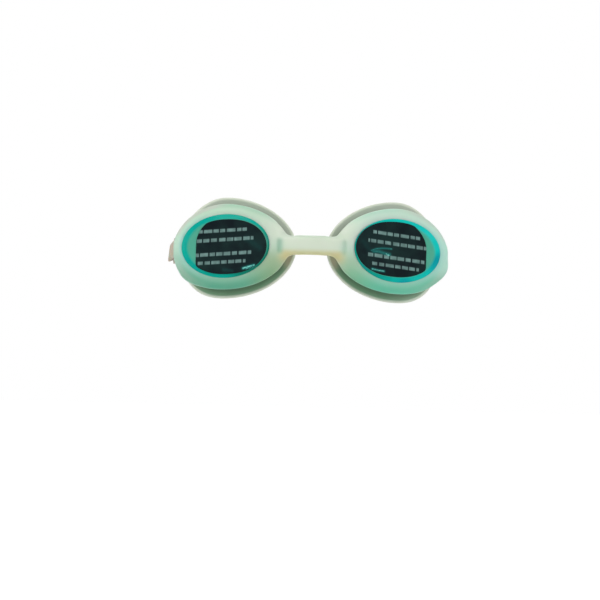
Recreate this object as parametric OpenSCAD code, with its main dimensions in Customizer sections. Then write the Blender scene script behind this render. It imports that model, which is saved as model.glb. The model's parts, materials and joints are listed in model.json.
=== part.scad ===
// Swimming goggles with a moulded soft frame, bevelled lenses and a swivelling head strap.
// Millimetres, +Z up, the front faces -Y. The origin is behind the middle of the nose bridge,
// in the plane where the face seals meet the nose. Left and right are the wearer's.

/* [Lenses] */
// Distance from the middle of the nose to the middle of a lens
lens_centre = 50; // [47:0.5:54]
// Half of the width of the lens opening
lens_half_w = 26.2; // [24:0.2:27]
// Half of the height of the lens opening
lens_half_h = 18.6; // [17:0.2:20]
// Turn of each lens away from straight ahead, in degrees
lens_yaw = 12; // [8:0.5:15]
// Roll that lowers the outer end of a lens, in degrees
lens_roll = 3.4; // [0:0.2:6]
// Distance of the lens lip in front of the seal plane, at the middle of a lens
lens_front = 4; // [2.5:0.5:6]
// Width of the bevel round the lens window
lens_bevel = 2.8; // [2:0.1:3.2]
// Width of the bevel at its nose end
nasal_bevel = 1.3; // [1:0.1:2.6]
// Height of the lens window above the lip of the frame
lens_proud = 1.3; // [0.6:0.1:2]
// Thickness of the lens window
lens_wall = 1.9; // [1.2:0.1:2.4]
// Width of the lens flange that the frame grips
flange_w = 1.4; // [0.8:0.1:1.6]
// Thickness of the lens flange
flange_t = 1.4; // [1:0.1:1.8]

/* [Lens films] */
// Thickness of the peel-off film
film_t = 0.2; // [0.1:0.05:0.4]
// Margin between the edge of the film and the edge of the lens window
film_margin = 0.3; // [0.2:0.1:1.5]
// Distance from the middle of the lens to the straight outer end of the film
film_end = 17; // [12:0.5:20]

/* [Eye cups] */
// Reach of the cup from the lens middle towards the temple
cup_outer = 30; // [29.5:0.5:31]
// Reach of the cup from the lens middle towards the nose
cup_nasal = 37.5; // [35:0.5:38.5]
// Reach of the cup upwards and downwards
cup_height = 24.9; // [23.5:0.1:26]
// Roll that lowers the outer end of the cup, in degrees
cup_roll = 2; // [0:0.5:5]
// Fullness of the upper nose corner of the outline, where 2 is an ellipse
nasal_top_full = 1.82; // [1.7:0.02:2.4]
// Fullness of the lower nose corner of the outline
nasal_low_full = 1.98; // [1.7:0.02:2.4]
// Fullness of the upper temple corner of the outline
outer_top_full = 1.92; // [1.7:0.02:2.4]
// Fullness of the lower temple corner of the outline
outer_low_full = 2.36; // [1.8:0.02:2.6]
// Wall of the cup round the eye space
cup_wall = 2.4; // [1.8:0.1:3]
// Thickness of the lip that holds the lens
lip_t = 0.95; // [0.7:0.05:1.3]
// Distance of the front shoulder behind the lens lip
shoulder_drop = 2.2; // [1.4:0.1:3]
// Depth of the waist between the cup and its seal
waist_in = 2; // [1.2:0.1:2.6]

/* [Face seals] */
// Distance of the seal's rim inside the cup's side, at the temple
seal_tuck = 2.7; // [2:0.1:3]
// Distance of the seal's rim past the cup, at the nose
seal_nose_flare = 3.9; // [3:0.1:5]
// Distance of the seal's rim past the cup, above and below
seal_flare = 4.9; // [3.5:0.1:6]
// Depth of the seal from the cup to the face
seal_depth = 3.4; // [2.8:0.1:4.4]
// Width of the band that lies on the face
seal_band = 7.5; // [6.5:0.1:8.5]
// Thickness of the seal at its rim
seal_rim = 1.4; // [1:0.1:1.8]
// Radius of the face's curve from side to side
face_r = 133; // [125:1:150]
// Radius of the face's curve up and down
face_rv = 300; // [240:10:500]

/* [Nose bridge] */
// Height of the bridge at its middle
bridge_h = 11.2; // [9:0.2:13]
// Thickness of the bridge
bridge_t = 4.2; // [3.2:0.1:5]
// Height of the bridge's middle above the lens middles
bridge_z = 1.4; // [0:0.1:3]
// Distance from the nose's middle to each end of the raised bar
bridge_reach = 17.4; // [16:0.2:18]
// Forward bow of the bridge between its ends
bridge_bow = 1.4; // [0.5:0.1:3]
// Drop of the bridge's lower edge where it meets the cups
bridge_flare = 4; // [1:0.2:5]
// Width of the flex slot at each end of the bar
flex_w = 2.6; // [1.4:0.1:2.8]
// Height of the flex slot
flex_h = 7.4; // [5:0.2:8.4]
// Depth of the flex slot
flex_depth = 1.4; // [0.6:0.1:1.6]

/* [Strap pivots] */
// Radius of the pivot stud
stud_r = 2.6; // [2:0.1:3.2]
// Radius of the anchor plate moulded into the cup wall
anchor_r = 5.4; // [4.6:0.1:5.8]
// Thickness of the anchor plate
anchor_t = 1.2; // [0.8:0.1:1.4]
// Height of the pivots above the lens middles
pivot_z = -2.4; // [-4:0.2:0]
// Radius of the boss inside the cup that holds the anchor
pad_r = 7; // [6.6:0.1:7.4]
// Depth of the recess in the side of the cup that the buckle lies in
pad_recess = 1.6; // [1:0.1:1.8]
// Radius of the cap that keeps the buckle on its stud
cap_r = 4.2; // [3.8:0.1:5]
// Height of the cap
cap_h = 1.2; // [1.1:0.1:1.4]
// Depth of the seat in the buckle that the cap turns in
cap_seat = 1.2; // [1:0.1:1.3]

/* [Strap buckles] */
// Thickness of the buckle plate
buckle_t = 2; // [1.9:0.1:2.6]
// Width of the rail on each side of the strap slot
rail_w = 2; // [1.6:0.1:2.6]
// Distance from the pivot to the strap slot
slot_reach = 14; // [13:0.5:17]
// Length of the strap slot in front of the bar
slot_len = 4.8; // [4.4:0.1:6]
// Radius of the bar that the strap goes round
bar_r = 1.3; // [1:0.1:1.5]

/* [Head strap] */
// Width of the strap
strap_w = 10.4; // [8:0.2:12]
// Thickness of the strap
strap_t = 1.6; // [1.3:0.1:1.8]
// Distance from the seal plane to the inside of the strap behind the head
strap_back = 186; // [170:1:200]
// Distance from the seal plane to the place where the strap starts to curve round the head
strap_straight = 78; // [74:1:90]
// Rise of the strap towards the back of the head, in degrees
strap_rise = 6.6; // [0:0.2:12]
// Length of the free tail behind the bar
tail_len = 34; // [30:1:38]
// Width of the slit between the two bands at the back
slit_w = 1.2; // [0.8:0.1:2]
// Share of the curve on each side where the strap is not slit
slit_start = 0.2; // [0.1:0.05:0.35]

/* [Strap keepers] */
// Width of the keeper along the strap
keeper_w = 5; // [4:0.5:7]
// Wall of the keeper
keeper_wall = 1.1; // [0.8:0.1:1.4]
// Distance of the keeper behind the bar
keeper_at = 20; // [18:0.5:24]

/* [Clearances] */
// Gap round a piece that is moulded in or gripped
seat_gap = 0.05; // [0.02:0.01:0.1]
// Radial gap of the stud in the buckle
pivot_gap = 0.08; // [0.05:0.01:0.1]
// Gap between the buckle and its neighbours
side_gap = 0.2; // [0.15:0.05:0.3]
// Gap round the rim of the cap, and round the front of the buckle
rim_gap = 0.4; // [0.3:0.05:0.5]
// Gap between the strap and what it passes
strap_gap = 0.15; // [0.1:0.05:0.25]

/* [Hidden] */
$fn = 48;
ring_n = 72;
eps = 0.01;

frame_colour = [0.72, 0.87, 0.77];
seal_colour = [0.80, 0.86, 0.80];
lens_colour = [0.05, 0.66, 0.60];
film_colour = [0.08, 0.18, 0.18];
hard_colour = [0.74, 0.71, 0.64];
strap_colour = [0.78, 0.78, 0.72];

// Lens edge, groove and window, measured along the lens normal from the lip
groove_depth = flange_t + 2 * seat_gap;
ledge_t = 1.2;
ledge_in = 0.8;
rim_round = 0.5;

// Front of the cup: how far its shoulder rounds over, how far its face swells, and the waist's run
shoulder_round = 1.2;
face_swell = 0.45;
waist_run = 1.6;

// Lip of the seal: where it starts to roll over, and how far it stands off at its inner edge
roll_in = 1.6;
band_lift = 0.8;

// Reach of the seal from the lens middle
seal_outer = cup_outer - seal_tuck;
seal_nasal = cup_nasal + seal_nose_flare;
seal_height = cup_height + seal_flare;

// Side of the cup, with the anchor's plate buried under its cover
anchor_cover = 1.1;
side_x = lens_centre + cup_outer;
wall_front_y = lens_plane_y(cup_outer) + shoulder_drop;
wall_back_y = face_y(side_x, 0) - seal_depth;
pivot_y = (wall_front_y + wall_back_y) / 2;
pad_x = side_x - pad_recess;
plate_x0 = pad_x - anchor_t - anchor_cover;
pad_x0 = plate_x0 - anchor_cover;
pad_back_y = face_y(pad_x0, 0) - seal_depth - 2 * seat_gap;

// Buckle and strap, across the side of the head
buckle_x0 = pad_x + side_gap;
buckle_x1 = buckle_x0 + buckle_t;
bar_x = (buckle_x0 + buckle_x1) / 2;
slot_h = strap_w + 4 * strap_gap;
buckle_w = slot_h + 2 * rail_w;
bar_y = pivot_y + slot_reach + slot_len + bar_r;
buckle_corner = 2;
turn_r = bar_r + strap_gap + strap_t / 2;
main_x = bar_x - turn_r;
strap_back_y = strap_back + strap_t / 2;
cap_x0 = buckle_x1 - cap_seat + side_gap;
spigot_step = 0.8;
spigot_r = stud_r - spigot_step;
spigot_len = cap_h * 2 / 3;
tail_drop = 2 * turn_r - strap_t - strap_gap;
keeper_y = bar_y + keeper_at;

// Height of the face's surface behind the seal plane
function face_y(x, z) = face_r - sqrt(pow(face_r, 2) - pow(x, 2)) + pow(z, 2) / (2 * face_rv);

// Depth of the lens lip plane at a distance outwards from the lens middle
function lens_plane_y(e) = -lens_front + e * tan(lens_yaw);

// Radius of the cup's outline with a given reach towards the temple, the nose, and up and down
function oval_r(t, outer, nasal, up) =
    let (q = t + cup_roll, side = cos(q) > 0 ? outer : nasal,
         full = cos(q) > 0 ? (sin(q) > 0 ? outer_top_full : outer_low_full)
                           : (sin(q) > 0 ? nasal_top_full : nasal_low_full))
    pow(pow(abs(cos(q)) / side, full) + pow(abs(sin(q)) / up, full), -1 / full);

// Radius of the rolled lens ellipse, grown all round
function lens_r(t, grow) =
    let (a = lens_half_w + grow, b = lens_half_h + grow, q = t + lens_roll)
    a * b / sqrt(pow(b * cos(q), 2) + pow(a * sin(q), 2));

// A point of the left lens's own plane: across, up, and out along the lens normal
function lens_place(u, v, n) =
    [lens_centre + u * cos(lens_yaw) + n * sin(lens_yaw),
     -lens_front + u * sin(lens_yaw) - n * cos(lens_yaw), v];
function lens_point(t, grow, n) =
    lens_place(lens_r(t, grow) * cos(t), lens_r(t, grow) * sin(t), n);

// Width of the bevel, narrower towards the nose
function bevel_w(t) = lens_bevel - (lens_bevel - nasal_bevel) * (cos(t) < 0 ? pow(cos(t), 2) : 0);

// A point of the cup's or the seal's outline, moved in, at a depth from the front or the back
function cup_e(t, inset) = (oval_r(t, cup_outer, cup_nasal, cup_height) - inset) * cos(t);
function cup_z(t, inset) = (oval_r(t, cup_outer, cup_nasal, cup_height) - inset) * sin(t);
function cup_front(t, inset, back) =
    let (e = cup_e(t, inset)) [lens_centre + e, lens_plane_y(e) + back, cup_z(t, inset)];
function cup_back(t, inset, ahead) =
    let (x = lens_centre + cup_e(t, inset), z = cup_z(t, inset)) [x, face_y(x, z) - ahead, z];
function seal_back(t, inset, ahead) =
    let (r = oval_r(t, seal_outer, seal_nasal, seal_height) - inset,
         x = lens_centre + r * cos(t), z = r * sin(t))
    [x, face_y(x, z) - ahead, z];
function between(a, b, s) = a + (b - a) * s;

// A closed solid swept round the eye: section(t) is a loop of points
function loop_faces(n, m) =
    [for (i = [0 : n - 1], j = [0 : m - 1])
        let (a = i * m + j, b = i * m + (j + 1) % m,
             c = ((i + 1) % n) * m + (j + 1) % m, d = ((i + 1) % n) * m + j)
        each [[a, d, c], [a, c, b]]];
module swept_loop(sections) {
    polyhedron(points = [for (s = sections) each s],
               faces = loop_faces(len(sections), len(sections[0])));
}

// Stacked rings closed by a flat face at each end
module stacked(rings) {
    n = len(rings[0]);
    m = len(rings);
    sides = [for (k = [0 : m - 2], i = [0 : n - 1])
        let (a = k * n + i, b = k * n + (i + 1) % n)
        each [[a, b, b + n], [a, b + n, a + n]]];
    polyhedron(points = [for (r = rings) each r],
               faces = concat(sides, [[for (i = [n - 1 : -1 : 0]) i]],
                              [[for (i = [0 : n - 1]) (m - 1) * n + i]]));
}

angles = [for (i = [0 : ring_n - 1]) i * 360 / ring_n];

// Cross-section of an eye cup, from the lens lip over the shoulder to the seal and back inside
function cup_section(t) =
    let (inside = waist_in + cup_wall, ledge = -lip_t - groove_depth,
         lip = lens_point(t, rim_round, rim_round / 2),
         shoulder = cup_front(t, shoulder_round, shoulder_drop - shoulder_round / 3),
         wall = cup_front(t, 0, shoulder_drop + shoulder_round))
    [lens_point(t, 0, 0), lip,
     between(lip, shoulder, 0.4) - [0, face_swell, 0],
     between(lip, shoulder, 0.75) - [0, face_swell * 0.8, 0],
     shoulder, cup_front(t, shoulder_round / 4, shoulder_drop + shoulder_round / 6), wall,
     between(wall, cup_back(t, 0, seal_depth + waist_run), 0.6),
     cup_back(t, waist_in / 3, seal_depth + waist_run * 1.4),
     cup_back(t, waist_in, seal_depth + waist_run),
     cup_back(t, waist_in, seal_depth), cup_back(t, inside, seal_depth),
     cup_back(t, inside, seal_depth + waist_run),
     cup_front(t, cup_wall + shoulder_round, shoulder_drop + ledge_t + groove_depth + rim_round),
     lens_point(t, -ledge_in, ledge - ledge_t), lens_point(t, -ledge_in, ledge),
     lens_point(t, flange_w + seat_gap, ledge), lens_point(t, flange_w + seat_gap, -lip_t),
     lens_point(t, 0, -lip_t)];

// Cross-section of a face seal: a flared skirt whose rim rolls over into the band on the face
function seal_section(t) =
    let (root = seal_depth - seat_gap, neck = cup_back(t, waist_in, root - 1.1),
         flare = seal_back(t, roll_in, seal_rim * 1.1))
    [cup_back(t, waist_in, root), neck, between(neck, flare, 0.6) + [0, seal_rim * 0.1, 0],
     flare, seal_back(t, roll_in * 0.4, seal_rim * 1.3), seal_back(t, 0, seal_rim * 0.8),
     seal_back(t, 0, seal_rim * 0.3), seal_back(t, roll_in * 0.4, 0),
     seal_back(t, seal_band * 0.5, -0.25), seal_back(t, seal_band, 0),
     seal_back(t, seal_band + band_lift / 2, band_lift),
     cup_back(t, waist_in + cup_wall, root)];

// A disc or boss on the pivot's line, from x0 outwards
module on_pivot(x0) {
    translate([x0, pivot_y, pivot_z]) rotate([0, 90, 0]) children();
}

// Thickening of the cup's wall round the plate, which ends in front of the seal
module strap_boss() {
    intersection() {
        on_pivot(pad_x0) cylinder(r = pad_r, h = pad_x - pad_x0);
        translate([pad_x0 - pad_r, pivot_y - 2 * pad_r, pivot_z - 2 * pad_r])
            cube([4 * pad_r, 2 * pad_r + pad_back_y - pivot_y, 4 * pad_r]);
    }
}

module eye_cup() {
    difference() {
        union() {
            swept_loop([for (t = angles) cup_section(t)]);
            strap_boss();
        }
        on_pivot(plate_x0 - seat_gap) cylinder(r = anchor_r + 2 * seat_gap, h = anchor_t + 2 * seat_gap);
        on_pivot(plate_x0) cylinder(r = stud_r + 2 * seat_gap, h = pad_x - plate_x0 + eps);
        buckle_recess();
        flex_slot();
    }
}

// Flat that the buckle swings over, round in front of the pivot and open behind it
module buckle_recess() {
    front = buckle_w / 2 + rim_gap;
    on_pivot(pad_x) cylinder(r = front, h = 2 * pad_recess);
    translate([pad_x, pivot_y - front / 2, pivot_z - 2 * front]) cube([2 * pad_recess, 4 * front, 4 * front]);
}

// Shallow slot where the bar of the bridge ends, in the front face of the cup
flex_low = 0.8;
module flex_slot() {
    e = bridge_reach + flex_w / 2 - lens_centre;
    corner = flex_w * 0.35;
    face_at = lens_plane_y(e) + shoulder_drop * 0.4;
    translate([lens_centre + e, face_at + flex_depth, bridge_z - flex_low]) rotate([90, 0, 0])
        linear_extrude(height = 3 * flex_depth + shoulder_drop)
            offset(r = corner) square([flex_w - 2 * corner, flex_h - 2 * corner], center = true);
}

// The bar between the cups: slices of a rounded bar, bowed forwards and deeper at its ends
bridge_slices = 14;
bridge_proud = 0.2;
function bridge_x(i) = bridge_reach * (2 * i / bridge_slices - 1);
function bridge_front(x) =
    lens_plane_y(bridge_reach - lens_centre) + bridge_proud - bridge_bow * (1 - pow(x / bridge_reach, 2));
module bridge_slice(x) {
    flare = bridge_flare * pow(abs(x) / bridge_reach, 3.5);
    low = bridge_z - bridge_h / 2 - flare;
    high = bridge_z + bridge_h / 2 + flare / 5;
    corner = bridge_t * 0.32;
    translate([x - eps, bridge_front(x), 0]) rotate([90, 0, 90]) linear_extrude(height = 2 * eps)
        offset(r = corner, $fn = 24) translate([corner, low + corner])
            square([bridge_t - 2 * corner, high - low - 2 * corner]);
}
module nose_bridge() {
    for (i = [0 : bridge_slices - 1]) hull() {
        bridge_slice(bridge_x(i));
        bridge_slice(bridge_x(i + 1));
    }
}

module front_frame() color(frame_colour) {
    eye_cup();
    mirror([1, 0, 0]) eye_cup();
    nose_bridge();
}

module face_seal() color(seal_colour) swept_loop([for (t = angles) seal_section(t)]);

function lens_ring(grow, n) = [for (t = angles) lens_point(t, grow, n)];
module lens() color(lens_colour) {
    back = -lip_t - flange_t - seat_gap;
    window = [for (t = angles) lens_point(t, -bevel_w(t), lens_proud)];
    stacked([lens_ring(-lens_bevel - ledge_t, lens_proud - lens_wall),
             lens_ring(-ledge_in - seat_gap, back), lens_ring(flange_w, back),
             lens_ring(flange_w, -lip_t - seat_gap), lens_ring(-seat_gap, -lip_t - seat_gap),
             lens_ring(-seat_gap, 3 * seat_gap), window]);
}

// Film on the lens window, cut straight at its outer end
module lens_film() color(film_colour) {
    outline = [for (t = angles) let (r = lens_r(t, -bevel_w(t) - film_margin))
        [min(r * cos(t), film_end), r * sin(t)]];
    translate(lens_place(0, 0, lens_proud + seat_gap / 2)) rotate([90, 0, lens_yaw])
        linear_extrude(height = film_t) polygon(outline);
}

// Plate moulded into the cup wall, with the stud that the buckle turns on
module strap_anchor() color(hard_colour) {
    on_pivot(plate_x0) {
        cylinder(r = anchor_r, h = anchor_t);
        cylinder(r = stud_r, h = cap_x0 - plate_x0);
        cylinder(r = spigot_r, h = cap_x0 + spigot_len - plate_x0);
    }
}

// Cap pressed on the stud's spigot, with a rounded edge
module pivot_cap() color(hard_colour) {
    edge = cap_h * 0.6;
    on_pivot(cap_x0 + seat_gap) difference() {
        rotate_extrude() union() {
            square([cap_r - edge, cap_h]);
            square([cap_r, cap_h - edge]);
            translate([cap_r - edge, cap_h - edge]) intersection() {
                circle(r = edge);
                square(edge);
            }
        }
        translate([0, 0, -eps]) cylinder(r = spigot_r + seat_gap / 2, h = spigot_len + eps);
    }
}

// Everything on the strap is drawn level and then raised about the pivots
module raised() {
    translate([0, pivot_y, pivot_z]) rotate([strap_rise, 0, 0]) translate([0, -pivot_y, 0]) children();
}

module rounded_end(y0, y1, w, corner) {
    translate([y0, -w / 2]) square([y1 - y0 - corner, w]);
    translate([y1 - corner - eps, corner - w / 2]) square([corner + eps, w - 2 * corner]);
    for (s = [-1, 1]) translate([y1 - corner, s * (w / 2 - corner)]) circle(r = corner);
}

// Swivelling plate with a bore for the stud, and a round bar behind the strap slot
module swivel_buckle() color(hard_colour) raised() {
    slot_y0 = pivot_y + slot_reach;
    difference() {
        translate([buckle_x0, 0, 0]) rotate([90, 0, 90]) linear_extrude(height = buckle_t)
            difference() {
                union() {
                    translate([pivot_y, 0]) circle(r = buckle_w / 2);
                    rounded_end(pivot_y, bar_y + 1.5 * bar_r, buckle_w, buckle_corner);
                }
                translate([pivot_y, 0]) circle(r = stud_r + pivot_gap);
                translate([slot_y0, -slot_h / 2]) square([bar_y + 2 * buckle_corner - slot_y0, slot_h]);
            }
        translate([buckle_x1 - cap_seat, pivot_y, 0]) rotate([0, 90, 0])
            cylinder(r = cap_r + rim_gap, h = cap_seat + eps);
    }
    translate([bar_x, bar_y, -slot_h / 2 - rail_w / 2])
        cylinder(r = bar_r, h = slot_h + rail_w);
}

// Strap centreline on the wearer's left, from the tail's rounded end, which eases in towards the
// strap behind the bar, round the bar and then to the back of the head
tail_round = 3;
tail_ease = 12;
tail_ends = concat([for (q = [0 : 22.5 : 90]) tail_round * (1 - cos(q))],
                   [for (i = [4 : -1 : 0]) tail_len - tail_ease * i / 4]);
turn_steps = 8;
head_steps = 24;
slit_index = round(head_steps * slit_start);
function ease(s) = s * s * (3 - 2 * s);
function tail_line() =
    [for (end = tail_ends) let (d = tail_len - end)
        [bar_x + turn_r - tail_drop * ease(min(1, d / tail_ease)), bar_y + d]];
function turn_line() =
    [for (i = [1 : turn_steps]) let (q = 180 * i / turn_steps)
        [bar_x + turn_r * cos(q), bar_y - turn_r * sin(q)]];
function head_line() =
    [for (i = [0 : head_steps]) let (q = 90 * i / head_steps)
        [main_x * cos(q), strap_straight + (strap_back_y - strap_straight) * sin(q)]];
function half_line() = concat(tail_line(), turn_line(), head_line());

// Unit normal of a line at point i
function normal_at(line, i) =
    let (a = line[max(i - 1, 0)], b = line[min(i + 1, len(line) - 1)], d = b - a)
    [d[1], -d[0]] / norm(d);

// Half of the strap's width at a distance from the tail's end, which is rounded
function strap_half_w(d) =
    let (short = max(0, tail_round - d))
    strap_w / 2 - tail_round + sqrt(pow(tail_round, 2) - pow(short, 2));

// Cross-section of the strap, with the slit's edges marked on both flat sides
function strap_shape(half_w) =
    let (soft = strap_t * 0.25, half = strap_t / 2, slit = slit_w / 2)
    [[half, soft - half_w], [half, -slit], [half, slit], [half, half_w - soft],
     [half - soft, half_w], [soft - half, half_w], [-half, half_w - soft], [-half, slit],
     [-half, -slit], [-half, soft - half_w], [soft - half, -half_w], [half - soft, -half_w]];
function strap_ring(line, i, d) =
    let (n = normal_at(line, i))
    [for (p = strap_shape(strap_half_w(d)))
        [line[i][0] + n[0] * p[0], line[i][1] + n[1] * p[0], p[1]]];

// One silicone strap: a full band at the sides, slit into two bands behind the head
module head_strap() color(strap_colour) raised() {
    half = half_line();
    line = concat(half, [for (i = [len(half) - 2 : -1 : 0]) [-half[i][0], half[i][1]]]);
    m = len(line);
    slit0 = len(tail_ends) + turn_steps + slit_index;
    slit1 = m - 1 - slit0;
    rings = [for (i = [0 : m - 1])
        let (k = min(i, m - 1 - i))
        strap_ring(line, i, k < len(tail_ends) ? tail_ends[k] : tail_len)];
    n = len(rings[0]);
    // Corners of the cross-section on the lower and on the upper edge of the slit
    slit_edges = [[8, 1], [2, 7]];
    sides = [for (i = [0 : m - 2], j = [0 : n - 1])
        let (slit = i >= slit0 && i < slit1 && (j == 1 || j == 7), a = i * n + j,
             b = i * n + (j + 1) % n)
        if (!slit) each [[a, b, b + n], [a, b + n, a + n]]];
    walls = [for (i = [slit0 : slit1 - 1], e = slit_edges)
        let (a = i * n + e[1], b = i * n + e[0])
        each [[a, b, b + n], [a, b + n, a + n]]];
    panels = [[0, 1, 8, 9], [2, 3, 6, 7], [3, 4, 5, 6], [9, 10, 11, 0], [1, 2, 7, 8]];
    caps = concat([for (p = panels) [for (i = [3 : -1 : 0]) p[i]]],
                  [for (p = panels) [for (i = p) (m - 1) * n + i]],
                  [[for (i = panels[4]) slit0 * n + i],
                   [for (i = [3 : -1 : 0]) slit1 * n + panels[4][i]]]);
    polyhedron(points = [for (r = rings) each r], faces = concat(sides, walls, caps));
}

// Loop that keeps the tail against the strap
module strap_keeper() color(strap_colour) raised() {
    x0 = main_x - strap_t / 2 - strap_gap;
    x1 = main_x + strap_t * 1.5 + 2 * strap_gap;
    half_h = strap_w / 2 + strap_gap;
    translate([0, keeper_y - keeper_w / 2, 0]) difference() {
        translate([x0 - keeper_wall, 0, -half_h - keeper_wall])
            cube([x1 - x0 + 2 * keeper_wall, keeper_w, 2 * (half_h + keeper_wall)]);
        translate([x0, -eps, -half_h]) cube([x1 - x0, keeper_w + 2 * eps, 2 * half_h]);
    }
}

module right_side() mirror([1, 0, 0]) children();

front_frame();
face_seal();  // left_face_seal
right_side() face_seal();  // right_face_seal
lens();  // left_lens
right_side() lens();  // right_lens
lens_film();  // left_lens_film
right_side() lens_film();  // right_lens_film
strap_anchor();  // left_strap_anchor
right_side() strap_anchor();  // right_strap_anchor
pivot_cap();  // left_pivot_cap
right_side() pivot_cap();  // right_pivot_cap
swivel_buckle();  // left_swivel_buckle
right_side() swivel_buckle();  // right_swivel_buckle
head_strap();
strap_keeper();  // left_strap_keeper
right_side() strap_keeper();  // right_strap_keeper
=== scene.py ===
import json
import math
import bmesh
import bpy
import numpy as np
from mathutils import Euler, Matrix, Vector


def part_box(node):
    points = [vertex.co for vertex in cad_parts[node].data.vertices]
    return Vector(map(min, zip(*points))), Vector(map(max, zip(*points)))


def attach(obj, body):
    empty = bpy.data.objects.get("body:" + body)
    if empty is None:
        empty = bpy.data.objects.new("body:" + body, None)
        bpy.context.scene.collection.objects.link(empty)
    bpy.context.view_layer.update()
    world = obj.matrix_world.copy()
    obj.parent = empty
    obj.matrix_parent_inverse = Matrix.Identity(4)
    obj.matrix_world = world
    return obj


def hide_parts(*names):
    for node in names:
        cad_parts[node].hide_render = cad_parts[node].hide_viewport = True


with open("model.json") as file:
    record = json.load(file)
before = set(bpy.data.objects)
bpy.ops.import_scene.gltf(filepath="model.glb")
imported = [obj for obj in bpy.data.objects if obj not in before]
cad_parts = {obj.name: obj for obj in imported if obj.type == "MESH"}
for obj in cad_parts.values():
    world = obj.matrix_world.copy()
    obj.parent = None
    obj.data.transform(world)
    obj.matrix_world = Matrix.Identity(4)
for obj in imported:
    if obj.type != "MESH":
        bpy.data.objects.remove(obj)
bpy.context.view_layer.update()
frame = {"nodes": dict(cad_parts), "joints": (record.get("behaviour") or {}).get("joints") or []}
scene = bpy.context.scene
mm = 0.001
rad = math.radians
print("frame loaded")


# Shape of the eye cups and lenses, in mm and degrees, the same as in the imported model
cup = {
    "centre": 50, "lensWide": 26.2, "lensHigh": 18.6, "yaw": 12, "lensRoll": 3.4, "front": 4,
    "bevel": 2.8, "noseBevel": 1.3, "proud": 1.3, "glass": 1.9, "flangeW": 1.4, "flangeT": 1.4,
    "outer": 30, "nasal": 37.5, "height": 24.9, "roll": 2,
    "noseTop": 1.82, "noseLow": 1.98, "outerTop": 1.92, "outerLow": 2.36,
    "wall": 2.4, "lip": 0.95, "drop": 2.2, "waist": 2, "waistRun": 1.6, "round": 1.2, "swell": 0.45,
    "sealDepth": 3.4, "faceSide": 133, "faceUp": 300, "ledge": 1.2, "ledgeIn": 0.8, "gap": 0.05,
}
film = {
    "thick": 0.2, "margin": 0.3, "end": 17.1, "curl": 0.039, "curlFrom": 1, "corner": 1.5,
    "sides": 288, "layers": 44, "lift": 0.35, "liftEnd": (-7, -1), "liftHigh": (1, 10),
}


def power(value, full):
    return np.abs(value) ** full


def faceY(x, z):
    return cup["faceSide"] - np.sqrt(cup["faceSide"] ** 2 - x ** 2) + z ** 2 / (2 * cup["faceUp"])


def lipY(e):
    return -cup["front"] + e * math.tan(rad(cup["yaw"]))


def ovalR(t, outer, nasal, up):
    # radius of the cup's outline, with its own fullness in each quarter
    q = t + rad(cup["roll"])
    side = np.where(np.cos(q) > 0, outer, nasal)
    full = np.where(np.cos(q) > 0, np.where(np.sin(q) > 0, cup["outerTop"], cup["outerLow"]),
                    np.where(np.sin(q) > 0, cup["noseTop"], cup["noseLow"]))
    return (power(np.cos(q) / side, full) + power(np.sin(q) / up, full)) ** (-1 / full)


def cupR(t):
    return ovalR(t, cup["outer"], cup["nasal"], cup["height"])


def lensR(t, grow=0.0):
    a, b, q = cup["lensWide"] + grow, cup["lensHigh"] + grow, t + rad(cup["lensRoll"])
    return a * b / np.sqrt((b * np.cos(q)) ** 2 + (a * np.sin(q)) ** 2)


def bevelW(t):
    narrow = np.where(np.cos(t) < 0, np.cos(t) ** 2, 0)
    return cup["bevel"] - (cup["bevel"] - cup["noseBevel"]) * narrow


def lensPlace(u, v, n):
    # across, up and out along the lens normal, for the left lens
    yaw = rad(cup["yaw"])
    return np.stack([cup["centre"] + u * math.cos(yaw) + n * math.sin(yaw),
                     -cup["front"] + u * math.sin(yaw) - n * math.cos(yaw),
                     v + 0 * u], -1)


def lensPoint(t, grow, n):
    r = lensR(t, grow)
    return lensPlace(r * np.cos(t), r * np.sin(t), n)


def cupFront(t, inset, back):
    r = cupR(t) - inset
    e = r * np.cos(t)
    return np.stack([cup["centre"] + e, lipY(e) + back, r * np.sin(t)], -1)


def onFace(r, t, ahead):
    x, z = cup["centre"] + r * np.cos(t), r * np.sin(t)
    return np.stack([x, faceY(x, z) - ahead, z], -1)


def cupBack(t, inset, ahead):
    return onFace(cupR(t) - inset, t, ahead)


def mix(a, b, s):
    return a + (b - a) * s


def ease(s):
    s = np.clip(s, 0, 1)
    return s * s * (3 - 2 * s)


def ramp(value, start, full):
    # 0 at start and 1 at full, smooth between them
    return ease((value - start) / (full - start))


def bell(value, middle, wide):
    return np.exp(-((value - middle) / wide) ** 2)


def turn(count):
    # the angles of that many points once round
    return np.arange(count) * math.tau / count


def squared(wave, full):
    # pushes a sine or cosine out towards a rounded square
    return np.sign(wave) * power(wave, full)


# Mesh helpers
def put(thing):
    scene.collection.objects.link(thing)
    return thing


def linkMesh(name, points, faces, smooth=True):
    mesh = bpy.data.meshes.new(name)
    mesh.from_pydata((np.asarray(points) * mm).tolist(), [], faces)
    mesh.update()
    if smooth:
        mesh.shade_smooth()
    return put(bpy.data.objects.new(name, mesh))


def readAll(items, key, wide, kind=float):
    values = np.empty(len(items) * wide, kind)
    items.foreach_get(key, values)
    return values.reshape(-1, wide)


def readPoints(mesh):
    return readAll(mesh.vertices, "co", 3)


def writePoints(mesh, points):
    mesh.vertices.foreach_set("co", points.ravel())
    mesh.update()


def keepValues(mesh, values):
    for name, value in values.items():
        mesh.attributes.new(name, "FLOAT", "POINT").data.foreach_set("value", np.asarray(value, float))


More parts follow.
